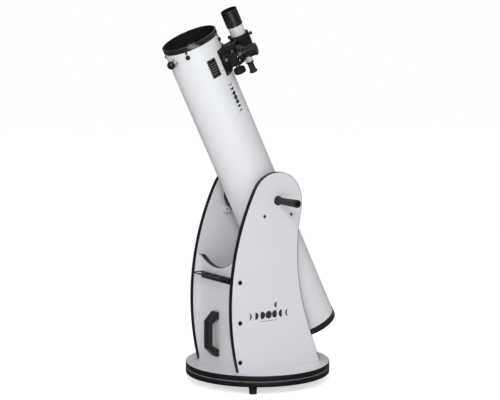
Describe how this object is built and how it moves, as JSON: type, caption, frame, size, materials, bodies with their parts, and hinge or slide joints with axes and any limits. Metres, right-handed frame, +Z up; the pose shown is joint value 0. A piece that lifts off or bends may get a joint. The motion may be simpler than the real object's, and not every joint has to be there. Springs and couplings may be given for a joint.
{
  "type": "dobsonian telescope",
  "caption": "Newtonian reflecting telescope on a swivelling rocker box, with a tilting tube, focuser, finder, eyepiece rack, carrying handle and tension handles.",
  "frame": {"origin": "turning axis of the rocker box, at the level of the feet's soles", "axes": "+Z up; -Y towards the front board, the side the tube points to; +X towards the right side panel"},
  "size_m": [0.4979, 0.6773, 1.2836],
  "materials": {
    "board_white": "smooth white melamine",
    "edge_black": "extruded edge strip",
    "foot_black": "matt",
    "steel": "bright zinc",
    "nylon": "natural",
    "handle_plastic": "moulded",
    "rack_sheet": "satin black",
    "tube_white": "gloss white",
    "ring_black": "gloss black",
    "cast_black": "crinkle black",
    "bearing_plastic": "moulded",
    "mirror": "aluminised",
    "label": "anodised black",
    "anodised": "satin anodised",
    "knob_plastic": "moulded"
  },
  "bodies": {
    "ground": {"ground_board": "board_white", "ground_strip": "edge_black", "feet": "foot_black", "foot_screws": "steel", "azimuth_pads": "nylon", "pivot_bolt": "steel", "pivot_nut": "steel"},
    "rocker": {"base_disc": "board_white", "base_strip": "edge_black", "pivot_bush": "nylon", "side_panel_left": "board_white", "side_panel_right": "board_white", "panel_strip_left": "edge_black", "panel_strip_right": "edge_black", "front_board": "board_white", "front_strip": "edge_black", "cap_bolts": "edge_black", "carry_handle": "handle_plastic", "eyepiece_rack": "rack_sheet", "altitude_rollers": "nylon", "roller_screws": "steel"},
    "optical_tube": {"tube": "tube_white", "front_ring": "ring_black", "rear_ring": "ring_black", "bearing_left": "bearing_plastic", "bearing_right": "bearing_plastic", "spider": "cast_black", "spider_nuts": "knob_plastic", "secondary_holder": "cast_black", "secondary_mirror": "mirror", "primary_mirror": "mirror", "mirror_cell": "cast_black", "cell_frame": "cast_black", "ring_screws": "ring_black", "guide_stem": "steel", "guide_knob": "knob_plastic", "label_plate": "label", "focuser_base": "cast_black", "focuser_screws": "steel", "focuser_body": "cast_black", "finder_shoe": "cast_black", "finder_bracket": "cast_black"},
    "tension_left": {"tension_left": "handle_plastic"},
    "tension_right": {"tension_right": "handle_plastic"},
    "focus_drive": {"focus_shaft": "steel", "focus_knobs": "knob_plastic"},
    "drawtube": {"drawtube": "steel", "eyepiece_adapter": "anodised", "eyepiece": "anodised"},
    "eyepiece_lock": {"eyepiece_lock": "steel"},
    "focus_lock": {"focus_lock": "steel"},
    "collimation_1": {"collimation_1": "steel"},
    "collimation_2": {"collimation_2": "steel"},
    "collimation_3": {"collimation_3": "steel"},
    "finder_seat": {"finder_seat": "bearing_plastic"},
    "finder": {"finder_tube": "tube_white", "finder_shade": "anodised", "finder_eyepiece": "anodised"},
    "finder_screw_a": {"finder_screw_a": "knob_plastic"},
    "finder_screw_b": {"finder_screw_b": "knob_plastic"}
  },
  "joints": [
    {"name": "azimuth_turn", "type": "hinge", "parent": "ground", "child": "rocker", "pos_m": [0, 0, 0.0585], "axis": [0, 0, 1], "continuous": true},
    {"name": "altitude_tilt", "type": "hinge", "parent": "rocker", "child": "optical_tube", "pos_m": [0, -0.006, 0.637], "axis": [-1, 0, 0], "range_deg": [-63.75, 26.25]},
    {"name": "tension_turn_left", "type": "hinge", "parent": "optical_tube", "child": "tension_left", "pos_m": [-0.12, -0.006, 0.637], "axis": [1, 0, 0], "range_deg": [0, 540]},
    {"name": "tension_turn_right", "type": "hinge", "parent": "optical_tube", "child": "tension_right", "pos_m": [0.12, -0.006, 0.637], "axis": [1, 0, 0], "range_deg": [0, 540]},
    {"name": "focus_turn", "type": "hinge", "parent": "optical_tube", "child": "focus_drive", "pos_m": [0.11098, -0.16493, 1.11444], "axis": [0, 0.4423, -0.8969], "range_deg": [-21.6, 401.2]},
    {"name": "drawtube_slide", "type": "slide", "parent": "optical_tube", "child": "drawtube", "axis": [0.7071, 0.6342, 0.3127], "range_m": [-0.0015, 0.028]},
    {"name": "eyepiece_lock_turn", "type": "hinge", "parent": "drawtube", "child": "eyepiece_lock", "pos_m": [0.13043, -0.15632, 1.12813], "axis": [-0.6861, 0.7223, 0.0865], "range_deg": [-360, 0]},
    {"name": "focus_lock_turn", "type": "hinge", "parent": "optical_tube", "child": "focus_lock", "pos_m": [0.10182, -0.18943, 1.11128], "axis": [-0.7071, 0.6342, 0.3127], "range_deg": [-360, 0]},
    {"name": "collimation_turn_1", "type": "hinge", "parent": "optical_tube", "child": "collimation_1", "pos_m": [0, 0.27603, 0.20075], "axis": [0, -0.4423, 0.8969], "range_deg": [-360, 360]},
    {"name": "collimation_turn_2", "type": "hinge", "parent": "optical_tube", "child": "collimation_2", "pos_m": [-0.05196, 0.19531, 0.16095], "axis": [0, -0.4423, 0.8969], "range_deg": [-360, 360]},
    {"name": "collimation_turn_3", "type": "hinge", "parent": "optical_tube", "child": "collimation_3", "pos_m": [0.05196, 0.19531, 0.16095], "axis": [0, -0.4423, 0.8969], "range_deg": [-360, 360]},
    {"name": "finder_tilt_a", "type": "hinge", "parent": "optical_tube", "child": "finder_seat", "pos_m": [0.02883, -0.07623, 1.14904], "axis": [0.5736, -0.7347, -0.3623], "range_deg": [-1.2, 1.2]},
    {"name": "finder_tilt_b", "type": "hinge", "parent": "finder_seat", "child": "finder", "pos_m": [0.02883, -0.07623, 1.14904], "axis": [-0.8192, -0.5144, -0.2537], "range_deg": [-1.2, 1.2]},
    {"name": "finder_screw_a_travel", "type": "slide", "parent": "optical_tube", "child": "finder_screw_a", "axis": [-0.8192, -0.5144, -0.2537], "range_m": [-0.0009, 0.0009]},
    {"name": "finder_screw_b_travel", "type": "slide", "parent": "optical_tube", "child": "finder_screw_b", "axis": [-0.5736, 0.7347, 0.3623], "range_m": [-0.0009, 0.0009]}
  ],
  "couplings": [
    {"joint": "focus_turn", "follows": "drawtube_slide", "rad_per_m": 250},
    {"joint": "finder_screw_a_travel", "follows": "finder_tilt_a", "m_per_rad": 0.04},
    {"joint": "finder_screw_b_travel", "follows": "finder_tilt_b", "m_per_rad": 0.04}
  ]
}
